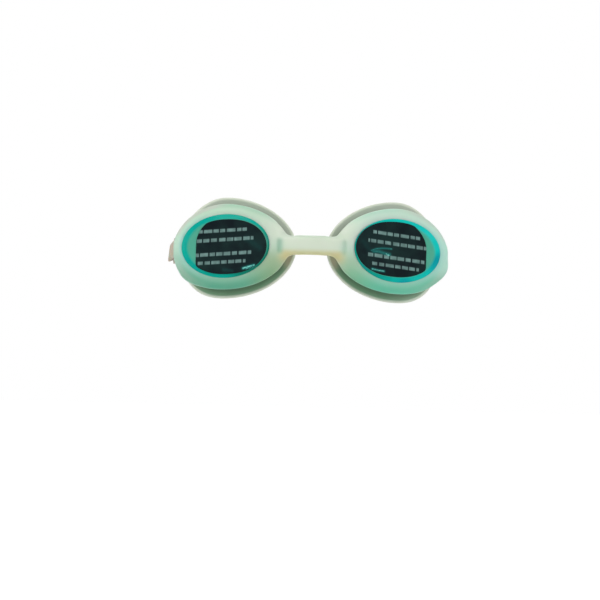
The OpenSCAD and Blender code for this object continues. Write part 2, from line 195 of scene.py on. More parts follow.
def roundLoop(corners, cuts, steps=4):
    # corners is [corner, ring point, xyz]; each corner is rounded by its own cut, in mm
    out = []
    m = len(corners)
    for j in range(m):
        here, before, after = corners[j], corners[j - 1], corners[(j + 1) % m]
        if cuts[j] <= 0:
            out.append(here)
            continue
        ends = []
        for other in (before, after):
            run = np.linalg.norm(other - here, axis=-1, keepdims=True)
            ends.append(mix(here, other, np.minimum(0.46, cuts[j] / np.maximum(run, 1e-6))))
        for k in range(steps + 1):
            s = k / steps
            out.append((1 - s) ** 2 * ends[0] + 2 * s * (1 - s) * here + s * s * ends[1])
    return np.array(out)


def band(a, b, m):
    # quads between the ring of m points that starts at a and the one that starts at b
    return [(a + j, a + (j + 1) % m, b + (j + 1) % m, b + j) for j in range(m)]


def ringFaces(count, m, closed=True):
    # a closed stack joins its last ring to its first
    faces = []
    for i in range(count if closed else count - 1):
        faces += band(i * m, (i + 1) % count * m, m)
    return faces


def ringPiece(name, shape):
    # a closed loop of rings, as round an eye, from each corner's ring of points and its cut
    rings = roundLoop(np.array([ring for ring, cut in shape]), [cut for ring, cut in shape])
    return turnOut(linkMesh(name, rings.reshape(-1, 3), ringFaces(len(rings), rings.shape[1])))


def tubePiece(name, rings, smooth=True):
    # a stack of rings with a flat face at each end
    n, m = len(rings), len(rings[0])
    ends = [tuple(range(m))[::-1], tuple(range((n - 1) * m, n * m))]
    return turnOut(linkMesh(name, np.concatenate(rings), ringFaces(n, m, False) + ends, smooth))


def turnOut(piece):
    made = bmesh.new()
    made.from_mesh(piece.data)
    bmesh.ops.recalc_face_normals(made, faces=made.faces)
    made.to_mesh(piece.data)
    made.free()
    return piece


def mirrored(piece, name):
    copy = piece.copy()
    copy.data = piece.data.copy()
    copy.name = copy.data.name = name
    copy.data.transform(Matrix.Scale(-1, 4, (1, 0, 0)))
    copy.data.flip_normals()
    return put(copy)


def applied(piece):
    # turns the piece's modifiers into its mesh
    bpy.context.view_layer.update()
    graph = bpy.context.evaluated_depsgraph_get()
    mesh = bpy.data.meshes.new_from_object(
        piece.evaluated_get(graph), preserve_all_data_layers=True, depsgraph=graph)
    old = piece.data
    piece.modifiers.clear()
    piece.data = mesh
    bpy.data.meshes.remove(old)
    mesh.name = piece.name
    return piece


def joined(pieces, name):
    made = bmesh.new()
    for piece in pieces:
        made.from_mesh(piece.data)
        bpy.data.objects.remove(piece)
    mesh = bpy.data.meshes.new(name)
    made.to_mesh(mesh)
    made.free()
    return put(bpy.data.objects.new(name, mesh))


def cutWith(piece, cutter, how="DIFFERENCE"):
    step = piece.modifiers.new("cut", "BOOLEAN")
    step.operation, step.solver, step.object = how, "EXACT", cutter
    applied(piece)
    bpy.data.objects.remove(cutter)
    return piece


def ringAt(t, x, radius):
    # a ring round the line that the buckles turn on
    return np.stack([0 * t + x, pivotY + radius * np.cos(t), pivotZ + radius * np.sin(t)], -1)


def disc(name, x0, x1, radius):
    t = turn(64)
    return tubePiece(name, [ringAt(t, x, radius) for x in (x0, x1)], False)


def block(name, low, high):
    x, y, z = np.meshgrid(*zip(low, high), indexing="ij")
    points = np.stack([x.ravel(), y.ravel(), z.ravel()], -1)
    faces = [(0, 1, 3, 2), (4, 6, 7, 5), (0, 4, 5, 1), (2, 3, 7, 6), (0, 2, 6, 4), (1, 5, 7, 3)]
    return turnOut(linkMesh(name, points, faces, False))


def relax(points, pairs, weight, steps):
    # each point moves towards the middle of its neighbours by each step's share
    n = len(points)
    count = np.maximum(np.bincount(pairs.ravel(), minlength=n), 1)
    for step in steps:
        for k in range(3):
            total = (np.bincount(pairs[:, 0], points[pairs[:, 1], k], n)
                     + np.bincount(pairs[:, 1], points[pairs[:, 0], k], n))
            points[:, k] += step * weight * (total / count - points[:, k])
    return points


# Camera, at the photograph's angle and distance
look = {
    "target": (0, -5, 0), "away": 950, "azimuth": 2.0, "up": 4.5, "roll": 1.45,
    "focal": 1638, "seenAt": (311.6, 248.3), "picture": 600, "sensor": 36, "seen": (0.01, 20),
}


def makeCamera():
    az, up = rad(look["azimuth"]), rad(look["up"])
    ahead = Vector((math.sin(az) * math.cos(up), math.cos(az) * math.cos(up), math.sin(up)))
    data = bpy.data.cameras.new("camera")
    data.sensor_width = look["sensor"]
    data.lens = look["sensor"] * look["focal"] / look["picture"]
    camera = bpy.data.objects.new("camera", data)
    camera.location = (Vector(look["target"]) - look["away"] * ahead) * mm
    half = look["picture"] / 2
    right = math.atan((look["seenAt"][0] - half) / look["focal"])
    above = math.atan((half - look["seenAt"][1]) / look["focal"])
    facing = ahead.to_track_quat("-Z", "Y") @ Euler((0, 0, rad(look["roll"]))).to_quaternion()
    facing = facing @ Euler((-above, right, 0)).to_quaternion()
    camera.rotation_euler = facing.to_euler()
    data.clip_start, data.clip_end = look["seen"]
    scene.camera = put(camera)


makeCamera()
print("camera set")


# The front frame: two eye cups and the bar between them, fused and relaxed into one moulding
frameSet = {
    "rings": 180, "voxel": 0.46, "lapUnder": 0.6, "smooth": (0.5, -0.52), "smoothTimes": 3,
    # the bar between the cups
    "bridgeH": 11.2, "bridgeT": 4.2, "bridgeZ": 1.4, "reach": 17.4, "bow": 1.4, "flare": 4,
    "flareRun": 3.5, "proud": 0.2, "sink": 4.5, "sinkBack": 0.45, "slices": 60, "around": 44, "crown": 3.4,
    # where it melts into them: distance from the nose, height and depth, each from start to full
    "rootNear": (7, 11), "rootFar": (27, 22), "rootHigh": (15, 11), "rootBack": (8, 4), "rootSteps": 70,
    # the shallow slots at its ends, with their widths at depths up from the floor
    "slotW": 2.6, "slotH": 7.4, "slotDeep": 1.4, "slotLow": 0.8, "slotSides": 48, "slotSquare": 0.6,
    "slotSteps": ((8, 1.25), (0.9, 1.05), (0.25, 0.92), (0, 0.7)),
    # the pad, plate, stud and recess for the buckle
    "padR": 7, "padDeep": 1.6, "plateT": 1.2, "plateR": 5.4, "cover": 1.1, "studR": 2.6,
    "buckleW": 15, "rimGap": 0.45, "floorGap": 0.12, "plateGap": 0.05, "roundGap": 0.1, "past": 3,
    # the swelling past the buckles, and the lower corners' own, right side first
    "puff": 0.85, "puffHigh": 13, "puffZ": -5, "puffOut": (18, 26), "puffShare": (0.5, 0.9),
    "puffGap": 0.1, "puffRun": (1.3, 1.2), "heel": (1.1, 1.2), "heelAt": (-40, -21), "heelWide": (13, 11),
}
pivotY, pivotZ = (value / mm for value in frame["joints"][0]["pos_m"][1:])
sideX = cup["centre"] + cup["outer"]
padX = sideX - frameSet["padDeep"]
plateX = padX - frameSet["plateT"] - frameSet["cover"]


def cupShape():
    # each corner of the cup's section, as a ring round the eye, with the cut that rounds it
    t = turn(frameSet["rings"])
    inside = cup["waist"] + cup["wall"]
    groove = cup["flangeT"] + 2 * cup["gap"]
    ledge = -cup["lip"] - groove
    lip, under = lensPoint(t, 0.5, 0.25), -frameSet["lapUnder"]
    shoulder = cupFront(t, cup["round"], cup["drop"] - cup["round"] / 3)
    wall = cupFront(t, 0, cup["drop"] + cup["round"])
    swell = np.array([0, cup["swell"], 0])
    root, run = cup["sealDepth"], cup["sealDepth"] + cup["waistRun"]
    inner = cup["drop"] + cup["ledge"] + groove + 0.5
    return [
        (lensPoint(t, under, 0.1), 0.12), (lip, 0.3), (mix(lip, shoulder, 0.4) - swell, 3),
        (mix(lip, shoulder, 0.75) - swell * 0.8, 3), (shoulder, 1.2),
        (cupFront(t, cup["round"] / 4, cup["drop"] + cup["round"] / 6), 1), (wall, 1),
        (mix(wall, cupBack(t, 0, run), 0.6), 2),
        (cupBack(t, cup["waist"] / 3, root + cup["waistRun"] * 1.4), 1),
        (cupBack(t, cup["waist"], run), 0.6), (cupBack(t, cup["waist"], root), 0),
        (cupBack(t, inside, root), 0), (cupBack(t, inside, run), 1),
        (cupFront(t, cup["wall"] + cup["round"], inner), 1.5),
        (lensPoint(t, -cup["ledgeIn"], ledge - cup["ledge"]), 0.3),
        (lensPoint(t, -cup["ledgeIn"], ledge), 0.2),
        (lensPoint(t, cup["flangeW"] + cup["gap"], ledge), 0),
        (lensPoint(t, cup["flangeW"] + cup["gap"], -cup["lip"]), 0),
        (lensPoint(t, under, -cup["lip"]), 0.1),
    ]


def slotCutter():
    f = frameSet
    e = f["reach"] + f["slotW"] / 2 - cup["centre"]
    floor = lipY(e) + cup["drop"] * 0.4 + f["slotDeep"]
    t = turn(f["slotSides"])
    u = squared(np.cos(t), f["slotSquare"]) * f["slotW"] / 2
    v = squared(np.sin(t), f["slotSquare"]) * f["slotH"] / 2
    x, z = cup["centre"] + e, f["bridgeZ"] - f["slotLow"]
    return tubePiece("slotCutter", [
        np.stack([x + u * wide, 0 * t + floor - high, z + v * wide], -1) for high, wide in f["slotSteps"]])


def bridgePiece():
    # slices of a rounded bar, bowed forwards and flared down where they run into the cups
    f = frameSet
    end = f["reach"] + f["sink"]
    q = turn(f["around"])
    rings = []
    for x in np.linspace(-end, end, f["slices"]):
        s = min(1.0, abs(x) / f["reach"])
        flare = f["flare"] * s ** f["flareRun"]
        low, high = f["bridgeZ"] - f["bridgeH"] / 2 - flare, f["bridgeZ"] + f["bridgeH"] / 2 + flare / 5
        back = max(0.0, abs(x) - f["reach"]) * f["sinkBack"]
        front = lipY(f["reach"] - cup["centre"]) + f["proud"] - f["bow"] * (1 - s * s) + back
        y = squared(np.cos(q), 2 / f["crown"]) * f["bridgeT"] / 2
        z = squared(np.sin(q), 2 / f["crown"]) * (high - low) / 2
        rings.append(np.stack([0 * q + x, front + f["bridgeT"] / 2 + y, (low + high) / 2 + z], -1))
    return tubePiece("bridge", rings)


def aroundEye(points):
    # each point's distance out and up from the middle of its lens, its angle and its radius, in mm
    e, z = np.abs(points[:, 0]) / mm - cup["centre"], points[:, 2] / mm
    return e, z, np.arctan2(z, e), np.hypot(e, z)


def eyeZone(points):
    # the same, with the share of the way from the lens to the cup's edge for the radius
    e, z, t, r = aroundEye(points)
    return e, z, t, (r - lensR(t)) / (cupR(t) - lensR(t))


def meltRoots(points, pairs):
    f = frameSet
    x, z = np.abs(points[:, 0]) / mm, points[:, 2] / mm - f["bridgeZ"]
    root = ramp(x, *f["rootNear"]) * ramp(x, *f["rootFar"]) * ramp(np.abs(z), *f["rootHigh"])
    outsideSlot = ease((np.abs(z + f["slotLow"]) - f["slotH"] * 0.48) / 1.5)
    root *= np.maximum(outsideSlot, ease((f["reach"] - 1 - x) / 2)) * ramp(points[:, 1] / mm, *f["rootBack"])
    relax(points, pairs, root, [0.5] * f["rootSteps"])


def swellEnds(points, reach):
    # the ends of the cups swell a little past the buckles, and more at the lower corners
    f = frameSet
    e, z, t, share = eyeZone(points)
    way, y = np.sign(points[:, 0]), points[:, 1] / mm
    past, before = f["puffRun"]
    clear = ease((np.hypot(y - pivotY, z - pivotZ) - reach - f["puffGap"]) / past)
    clear *= ramp(share, *f["puffShare"]) * ease((pivotY - reach / 2 - f["puffGap"] - y) / before)
    puff = f["puff"] * clear * ramp(e, *f["puffOut"]) * bell(z, f["puffZ"], f["puffHigh"])
    side = (way > 0).astype(int)
    high, at, wide = (np.array(f[key])[side] for key in ("heel", "heelAt", "heelWide"))
    heel = high * bell(np.degrees(t), at, wide) * clear
    points[:, 0] += way * (puff + heel * np.cos(t)) * mm
    points[:, 2] += heel * np.sin(t) * mm


# The frame's painted light and shade: each tint's strength on the right and the left side, and where it
# starts and is full: out and high from the middle of the lens, nose from the middle of the bar, barLow and
# barTop from the bar's edges and back from the front, in mm, and share from the lens to the cup's edge
frameTint = {
    # painted shade, tinted by the lens's teal light: sea makes the cup darker and greener low down, away
    # from the bar and towards its edge, and topEdge lays it along the top edge
    "sea": (1, 1, ("high", 3, -19), ("nose", 12, 24)), "seaLeast": 0.55, "seaShare": (-0.2, 0.8),
    "topEdge": (0.32, 0.2, ("high", 10, 20), ("share", 0.45, 0.95)),
    # painted shade: warm lays a yellowish tone along and under the bar's lower edge, more towards its ends
    "warm": (1, 1, ("barLow", 4, 0.4), ("barLow", -7, -1), ("nose", 22, 15)), "warmLeast": 0.72,
    "warmMore": (0.1, 0.1, ("nose", 9, 15)),
    # painted shade: slot is a teal shade in the shallow slots at the bar's ends, stronger on one side
    "slot": (0.68, 0.36, ("back", 3, 1)), "slotWide": 0.75, "slotHigh": 0.8, "slotFade": 3.5,
    # painted light: nose makes the silicone paler towards the bar, reaching further out higher up
    "nose": (1, 1, ("nearNose", 30, 10)), "noseMore": (7, 7, ("high", 0, 8)),
    # painted shade: rim darkens the cup towards its edge by the seal's groove, but not high on the nasal
    # side, and bridgeTop darkens the top of the bar
    "upperNose": (0.8, 0.8, ("out", 4, -6), ("high", 2, 10)),
    "bridgeTop": (0.5, 0.5, ("barTop", -2.2, -0.2), ("nose", 20, 14)),
    "rim": (1, 1, ("share", 0.8, 1.05), ("nose", 16, 22)),
    # painted light: halo is a pale teal glow on the cup's outer side, stronger on the left
    "halo": (0.25, 0.8, ("out", 14, 28), ("high", -18, -10)),
    # painted shade: olive makes the cup darker and more olive low on the nasal side
    "olive": (0.62, 0.42, ("out", -9, -29), ("high", 1, -8)),
    # painted sheen: a greyer, pinker colour low on the outer side, and from shoulder along the cup's upper
    # shoulder
    "sheen": (0.3, 0.3, ("share", 0.4, 0.8)), "sheenAt": -35, "sheenWide": 22,
    "shoulder": (0.6, 0.35, ("high", 4, 9), ("out", -4, 10), ("share", 0.5, 0.8)),
    # painted light: cast is a teal glow in the silicone right by the lens ring on the outer side
    "cast": (0.55, 0.55, ("out", 4, 19)), "castWide": 0.3, "sides": (-10, 10),
}


def tintAt(table, name, where):
    right, left, *spans = table[name]
    # painted light: each strength goes from the right side's to the left's, and the left side is painted as
    # lit more
    tint = mix(right, left, where["bright"])
    for key, start, full in spans:
        tint = tint * ramp(where[key], start, full)
    return tint


def tintFrame(mesh, points):
    f, k = frameSet, frameTint
    e, z, t, share = eyeZone(points)
    x = np.abs(points[:, 0]) / mm
    half = f["bridgeH"] / 2
    where = {
        "out": e, "high": z, "share": share, "nose": x, "back": points[:, 1] / mm,
        "barLow": z - f["bridgeZ"] + half, "barTop": z - f["bridgeZ"] - half,
        # painted light: one side of the moulding is painted lighter and bluer than the other, as if lit more
        "bright": ramp(points[:, 0] / mm, *k["sides"]),
    }
    where["nearNose"] = x - tintAt(k, "noseMore", where)
    tints = {name: tintAt(k, name, where) for name, value in k.items() if isinstance(value, tuple)
             and isinstance(value[-1], tuple)}
    sea = tints["sea"] * mix(k["seaLeast"], 1, ramp(share, *k["seaShare"]))
    # painted shade in the slots, fading out above and below them
    slotX, slotZ = f["reach"] + f["slotW"] / 2, f["bridgeZ"] - f["slotLow"]
    slot = bell(x, slotX, f["slotW"] * k["slotWide"])
    slot *= ease((f["slotH"] * k["slotHigh"] - np.abs(z - slotZ)) / k["slotFade"])
    keepValues(mesh, {
        "litSide": where["bright"], "seaTint": np.clip(sea + tints["topEdge"], 0, 1),
        "warmTint": tints["warm"] * (k["warmLeast"] + tints["warmMore"]),
        "slotTint": slot * tints["slot"], "noseTint": tints["nose"],
        # painted shade at the cup's edge and on the top of the bar
        "edgeTint": np.maximum(tints["rim"] * (1 - tints["upperNose"]), tints["bridgeTop"]),
        "haloTint": tints["halo"], "oliveTint": tints["olive"],
        "sheenTint": tints["sheen"] * bell(np.degrees(t), k["sheenAt"], k["sheenWide"]) + tints["shoulder"],
        "castTint": tints["cast"] * bell(share, 0, k["castWide"]),
    })


def frontFrame():
    f = frameSet
    body = ringPiece("cup", cupShape())
    boss = disc("boss", plateX - f["cover"], padX, f["padR"])
    bossEnd = faceY(plateX - f["cover"], 0) - cup["sealDepth"] - 2 * cup["gap"]
    cutWith(boss, block("bossEnd", (plateX - 9, bossEnd, -30), (padX + 9, bossEnd + 20, 30)))
    body = cutWith(body, boss, "UNION")
    # the cutters reach past the pad's face
    reach, floorX, pastX = f["buckleW"] / 2 + f["rimGap"], padX - f["floorGap"], padX + f["past"]
    for cutter in (
        disc("plateRoom", plateX - f["plateGap"], plateX + f["plateT"] + f["plateGap"],
             f["plateR"] + f["roundGap"]),
        disc("studRoom", plateX, padX + 1, f["studR"] + f["roundGap"]),
        disc("roundRecess", floorX, pastX, reach),
        block("openRecess", (floorX, pivotY - reach / 2, pivotZ - 2 * reach),
              (pastX, pivotY + 3.5 * reach, pivotZ + 2 * reach)),
        slotCutter(),
    ):
        cutWith(body, cutter)
    piece = joined([body, mirrored(body, "otherCup"), bridgePiece()], "frontFrame")
    step = piece.modifiers.new("fuse", "REMESH")
    step.mode, step.voxel_size = "VOXEL", f["voxel"] * mm
    applied(piece)
    mesh = piece.data
    points, pairs = readPoints(mesh), readAll(mesh.edges, "vertices", 2, int)
    relax(points, pairs, np.ones(len(points)), f["smooth"] * f["smoothTimes"])
    meltRoots(points, pairs)
    swellEnds(points, reach)
    writePoints(mesh, points)
    mesh.shade_smooth()
    tintFrame(mesh, points)
    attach(piece, "frame")
    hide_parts("front_frame")
    return piece


frontPiece = frontFrame()
print("front frame:", len(frontPiece.data.polygons), "faces")


# Face seals: flared skirts whose rims roll over on to the face
sealSet = {
    "rings": 180, "tuck": 2.7, "noseFlare": 3.9, "flare": 4.9, "band": 7.5, "rim": 1.4,
    "rollIn": 1.6, "lift": 0.8,
}
sealTint = {  # as for the frame, with edge as the distance out from the skirt's rim
    # painted shade: the skirt darkens towards its bottom, less so on the outer side of the lit left seal,
    # and towards its root by the frame on its front
    "low": (1, 1, ("high", 4, -14)), "lowLess": (0, 0.3, ("out", -12, 8)),
    # painted highlight: rim paints the skirt's rolled rim lighter
    "rim": (1, 1, ("edge", -1.9, -1.1)), "root": (1, 1, ("front", 0.5, 1.3), ("edge", -1.6, -4.8)),
    "nose": (1, 1, ("front", 0.5, 1.3), ("out", -32, -37), ("high", -15, -8), ("high", -1, -6)),
}


def skirtR(t):
    s = sealSet
    return ovalR(t, cup["outer"] - s["tuck"], cup["nasal"] + s["noseFlare"], cup["height"] + s["flare"])


def sealBack(t, inset, ahead):
    return onFace(skirtR(t) - inset, t, ahead)


def sealPiece(name):
    s = sealSet
    t = turn(s["rings"])
    root, rim = cup["sealDepth"] - cup["gap"], s["rim"]
    inside = cup["waist"] + cup["wall"]
    neck, flare = cupBack(t, cup["waist"], root - 1.1), sealBack(t, s["rollIn"], rim * 1.1)
    return ringPiece(name, [
        (cupBack(t, cup["waist"], root), 0), (neck, 0.8),
        (mix(neck, flare, 0.6) + np.array([0, rim * 0.1, 0]), 1.2), (flare, 1),
        (sealBack(t, s["rollIn"] * 0.4, rim * 1.3), 0.6), (sealBack(t, 0, rim * 0.8), 0.5),
        (sealBack(t, 0, rim * 0.3), 0.5), (sealBack(t, s["rollIn"] * 0.4, 0), 0.6),
        (sealBack(t, s["band"] * 0.5, -0.25), 2.5), (sealBack(t, s["band"], 0), 0.6),
        (sealBack(t, s["band"] + s["lift"] / 2, s["lift"]), 0.5), (cupBack(t, inside, root), 0),
    ])


def tintSeal(mesh, bright):
    points = readPoints(mesh)
    e, z, t, r = aroundEye(points)
    front = faceY(points[:, 0] / mm, z) - points[:, 1] / mm
    where = {"out": e, "high": z, "edge": r - skirtR(t), "front": front, "bright": bright}
    tints = {name: tintAt(sealTint, name, where) for name in sealTint}
    tints["low"] = tints["low"] * (1 - tints.pop("lowLess"))
    keepValues(mesh, {name + "Tint": tint for name, tint in tints.items()})


leftSeal = sealPiece("leftSeal")
# painted light: the left seal is painted as the lit side
for side, piece, bright in (("left", leftSeal, 1), ("right", mirrored(leftSeal, "rightSeal"), 0)):
    tintSeal(piece.data, bright)
    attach(piece, "frame")
    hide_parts(side + "_face_seal")
print("seals made")


# Lenses: a bevelled window with a flange that the frame grips
lensSet = {
    "rings": 192, "inner": 14, "foot": -0.12, "footHigh": 0.2,
    # the bevel, with a narrow rounded edge at each side of it: share of its width and height
    "bevelSteps": ((0.03, 0.28), (0.1, 0.38), (0.5, 0.8), (0.9, 1.17), (0.97, 1.27)),
    # painted highlight: the brighter cyan round the bevel, of which one lens catches more than the other,
    # and painted shade on the nasal side away from it
    "light": {"left": 0.9, "right": 0.15}, "lightAt": 0.4, "lightLeast": 0.35,
    "nasal": 0.3, "nasalLess": 0.7,
}


def stackPiece(name, rings):
    # rings from the back round the edge to the front, closed by caps of shrinking rings
    m, count = len(rings[0]), len(rings)
    points, faces, total = list(rings), ringFaces(count, m, False), count * m
    for end, way in ((0, -1), (count - 1, 1)):
        middle, last = rings[end].mean(0), end * m
        for k in range(1, lensSet["inner"]):
            points.append(mix(rings[end], middle, k / lensSet["inner"]))
            faces += [quad[::way] for quad in band(last, total, m)]
            last, total = total, total + m
        points.append(middle[None])
        faces += [(last + j, last + (j + 1) % m, total)[::way] for j in range(m)]
        total += 1
    return turnOut(linkMesh(name, np.concatenate(points), faces))


def lensPiece(name):
    c, s = cup, lensSet
    t = turn(s["rings"])
    wide, foot, grip = bevelW(t), s["foot"], -c["lip"] - c["gap"]
    back = grip - c["flangeT"]
    corners = [(-c["bevel"] - c["ledge"], c["proud"] - c["glass"]), (-c["ledgeIn"] - c["gap"], back),
               (c["flangeW"], back), (c["flangeW"], grip), (foot, grip), (foot, s["footHigh"])]
    corners += [(foot - (wide + foot) * share, n) for share, n in s["bevelSteps"]]
    corners.append((-wide - 0.15, c["proud"]))
    piece = stackPiece(name, [lensPoint(t, grow, n) for grow, n in corners])
    e, z = aroundEye(readPoints(piece.data))[:2]
    u = e / math.cos(rad(c["yaw"]))
    angle, r = np.arctan2(z, u), np.hypot(u, z)
    keepValues(piece.data, {"bevelTint": ease((r - lensR(angle) + bevelW(angle) + 0.4) / 0.5)})
    return piece


def ringLight(piece, amount):
    s = lensSet
    t = aroundEye(readPoints(piece.data))[2]
    around = np.cos(t - s["lightAt"]) * 0.5 + 0.5
    # painted highlight round the bevel towards one side, and painted shade on the side away from it
    keepValues(piece.data, {
        "brightTint": np.clip(amount * mix(s["lightLeast"], 1, around), 0, 1),
        "nasalTint": (1 - amount * s["nasalLess"]) * ramp(around, s["nasal"], 0),
    })


# How each film lies: its shift and growth across and up, the shift and slant of its print, and its
# creases, each as a line of points across and up, half width, height and painted shine
filmLay = {
    "left": {"shift": (-0.5, 0.6), "grow": (0.5, 0.6), "print": (0, -5.8), "creases": [
        (((-15.8, -0.6), (-13, 0.5), (-10, 0.9), (-7, 1.0), (-3.8, 0.8)), 0.5, 0.14, 0.62),
        (((-14.5, -1.0), (-11.5, -0.9), (-8.5, -1.9), (-5, -2.6)), 1.0, 0.16, 0.6),
        (((-6.8, -2.3), (-5.4, -3.0)), 0.6, 0.1, 1.0),
        (((-15.2, -11.2), (-11.5, -11.9), (-8, -12.3)), 0.6, 0.16, 0.85),
        (((-20.5, 4.2), (-18.5, 1.5), (-16.5, -0.8)), 1.7, 0.12, 0.06)]},
    "right": {"shift": (0, -0.5), "grow": (0.1, 0.5), "print": (0.9, 4.1), "creases": [
        (((-10.8, -12.9), (-13.6, -12.0), (-17.2, -11.0)), 0.7, 0.18, 1.0),
        (((-12.5, -13.2), (-17.8, -12.0)), 0.35, 0.1, 0.8),
        (((-12.5, 4.2), (-16.5, 2.0), (-20.5, -1.0)), 1.8, 0.14, 0.07),
        (((0.8, -13.9), (-4.5, -14.4)), 0.9, 0.08, 0.1)]},
}


def lineGap(u, v, line):
    # distance from each point to a line of short straight runs
    best = np.full(u.shape, 1e3)
    for (au, av), (bu, bv) in zip(line, line[1:]):
        du, dv = bu - au, bv - av
        s = np.clip(((u - au) * du + (v - av) * dv) / (du * du + dv * dv), 0, 1)
        best = np.minimum(best, np.hypot(u - au - s * du, v - av - s * dv))
    return best


def filmPiece(side, way):
    # a thin sheet cut straight at its outer end, whose rounded upper corner lifts a little
    c, lay = cup, filmLay[side]
    n, layers, thick = film["sides"], film["layers"], film["thick"]
    t = turn(n)
    r = lensR(t) - bevelW(t) - film["margin"]
    u = r * np.cos(t) * (1 + lay["grow"][0] / c["lensWide"]) + lay["shift"][0]
    v = r * np.sin(t) * (1 + lay["grow"][1] / c["lensHigh"]) + lay["shift"][1]
    last = film["end"] - film["curl"] * np.maximum(0, v - film["curlFrom"]) ** 2
    soft = film["corner"]
    u = -np.log(np.exp(-soft * u) + np.exp(-soft * last)) / soft
    base = c["proud"] + c["gap"] / 2
    top, low = [], []
    for k in range(layers):
        s = 1 - k / layers
        uu, vv = u * s, v * s
        lift = film["lift"] * ramp(uu - film["end"], *film["liftEnd"]) * ramp(vv, *film["liftHigh"])
        for line, width, high, shine in lay["creases"]:
            lift = lift + high * bell(lineGap(uu, vv, line), 0, width)
        low.append(lensPlace(uu, vv, base + lift))
        top.append(lensPlace(uu, vv, base + thick + lift))
    middle = [lensPlace(np.zeros(1), np.zeros(1), base + out) for out in (thick, 0)]
    faces = ringFaces(2 * layers, n, False)
    hub, inner = 2 * layers * n, (2 * layers - 1) * n
    for j in range(n):
        faces.append(((j + 1) % n, j, hub))
        faces.append((inner + j, inner + (j + 1) % n, hub + 1))
    points = np.concatenate(top[::-1] + low + middle)
    piece = turnOut(linkMesh(side + "Film", points * [way, 1, 1], faces))
    # the creases' painted shine, and where each point lies on the print, which was laid on at a slant
    points = readPoints(piece.data) / mm
    u, v = (points[:, 0] * way - c["centre"]) / math.cos(rad(c["yaw"])), points[:, 2]
    tint = 0 * u
    for line, width, high, shine in lay["creases"]:
        tint = np.maximum(tint, shine * bell(lineGap(u, v, line), 0, width))
    keepValues(piece.data, {"creaseSheenMask": tint})
    shift, slant = lay["print"]
    across = u * way + shift
    spot = np.stack([across, v - across * math.tan(rad(slant)), 0 * u], -1)
    piece.data.attributes.new("filmPlace", "FLOAT_VECTOR", "POINT").data.foreach_set("vector", spot.ravel())
    return piece


leftLens = lensPiece("leftLens")
for side, way, piece in (("left", 1, leftLens), ("right", -1, mirrored(leftLens, "rightLens"))):
    ringLight(piece, lensSet["light"][side])
    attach(piece, "frame")
    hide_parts(side + "_lens")
    piece = filmPiece(side, way)
    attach(piece, side + "_film")
    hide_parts(side + "_lens_film")
print("lenses and films made")


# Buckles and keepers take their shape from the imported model, with moulded edges
hardSet = {
    "edge": 0.5, "segments": 3, "keeperEdge": 0.45, "flat": 1, "edgeAngle": 35, "sharp": 40, "capSides": 72,
}


def roundedCopy(name, node, edge):
    piece = put(bpy.data.objects.new(name, frame["nodes"][node].data.copy()))
    made = bmesh.new()
    made.from_mesh(piece.data)
    bmesh.ops.remove_doubles(made, verts=made.verts, dist=mm / 1000)
    bmesh.ops.dissolve_limit(made, angle_limit=rad(hardSet["flat"]), verts=made.verts, edges=made.edges)
    made.to_mesh(piece.data)
    made.free()
    step = piece.modifiers.new("edges", "BEVEL")
    step.width, step.segments = edge * mm, hardSet["segments"]
    step.limit_method, step.angle_limit = "ANGLE", rad(hardSet["edgeAngle"])
    applied(piece)
    piece.data.shade_smooth()
    piece.data.set_sharp_from_angle(angle=rad(hardSet["sharp"]))
    return piece


def capPiece(name):
    # a turned cap with a rounded edge and a shallow dimple
    low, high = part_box("left_pivot_cap")
    foot, face, rim = low.x / mm, high.x / mm, (high.z - low.z) / 2 / mm
    profile = [
        (foot, 1.7), (foot, rim - 0.1), (foot + 0.1, rim), (face - 0.7, rim), (face - 0.35, rim - 0.1),
        (face - 0.12, rim - 0.35), (face, rim - 0.8), (face, 2.2), (face - 0.06, 1.9), (face - 0.25, 1.5),
        (face - 0.3, 1.0), (face - 0.3, 0.3),
    ]
    return tubePiece(name, [ringAt(turn(hardSet["capSides"]), x, r) for x, r in profile])


for side in ("left", "right"):
    for kind, node, edge, body, slot in (
        ("Buckle", "_swivel_buckle", hardSet["edge"], "strap", "buckle_plastic"),
        ("Keeper", "_strap_keeper", hardSet["keeperEdge"], side + "_keeper", "strap_silicone"),
    ):
        piece = roundedCopy(side + kind, side + node, edge)
        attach(piece, body)
        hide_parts(side + node)
leftCap = capPiece("leftCap")
for side, piece in (("left", leftCap), ("right", mirrored(leftCap, "rightCap"))):
    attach(piece, "frame")
    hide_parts(side + "_pivot_cap")
print("buckles, keepers and caps made")


# Head strap: one band, slit in two behind the head, with grooved tails
strapSet = {
    "wide": 10.4, "thick": 1.6, "back": 186, "straight": 78, "rise": 6.6, "tail": 34, "slit": 1.2,
    "slitFrom": 0.2, "barR": 1.3, "gap": 0.15, "reach": 14, "slot": 4.8, "buckleT": 2.0,
    "sideGap": 0.2, "tailRound": 3, "tailEase": 12, "grooveStep": 1.7, "grooveDeep": 0.28,
    "grooveSharp": 0.8, "grooveRun": (3.5, 25), "soft": 0.55, "cage": 0.55,
    # points along the rounded end, the tail, the turn, the straight run and half of the head
    "endSteps": 8, "stepTail": 0.34, "turnSteps": 16, "straightSteps": 14, "headSteps": 96,
    # the tails bow out before their keepers, one of them with a twist
    "bowLeft": 0.3, "bowRight": 3.5, "bowTwist": 0.6, "bowDrop": 2.4, "bowRun": 12.4,
}


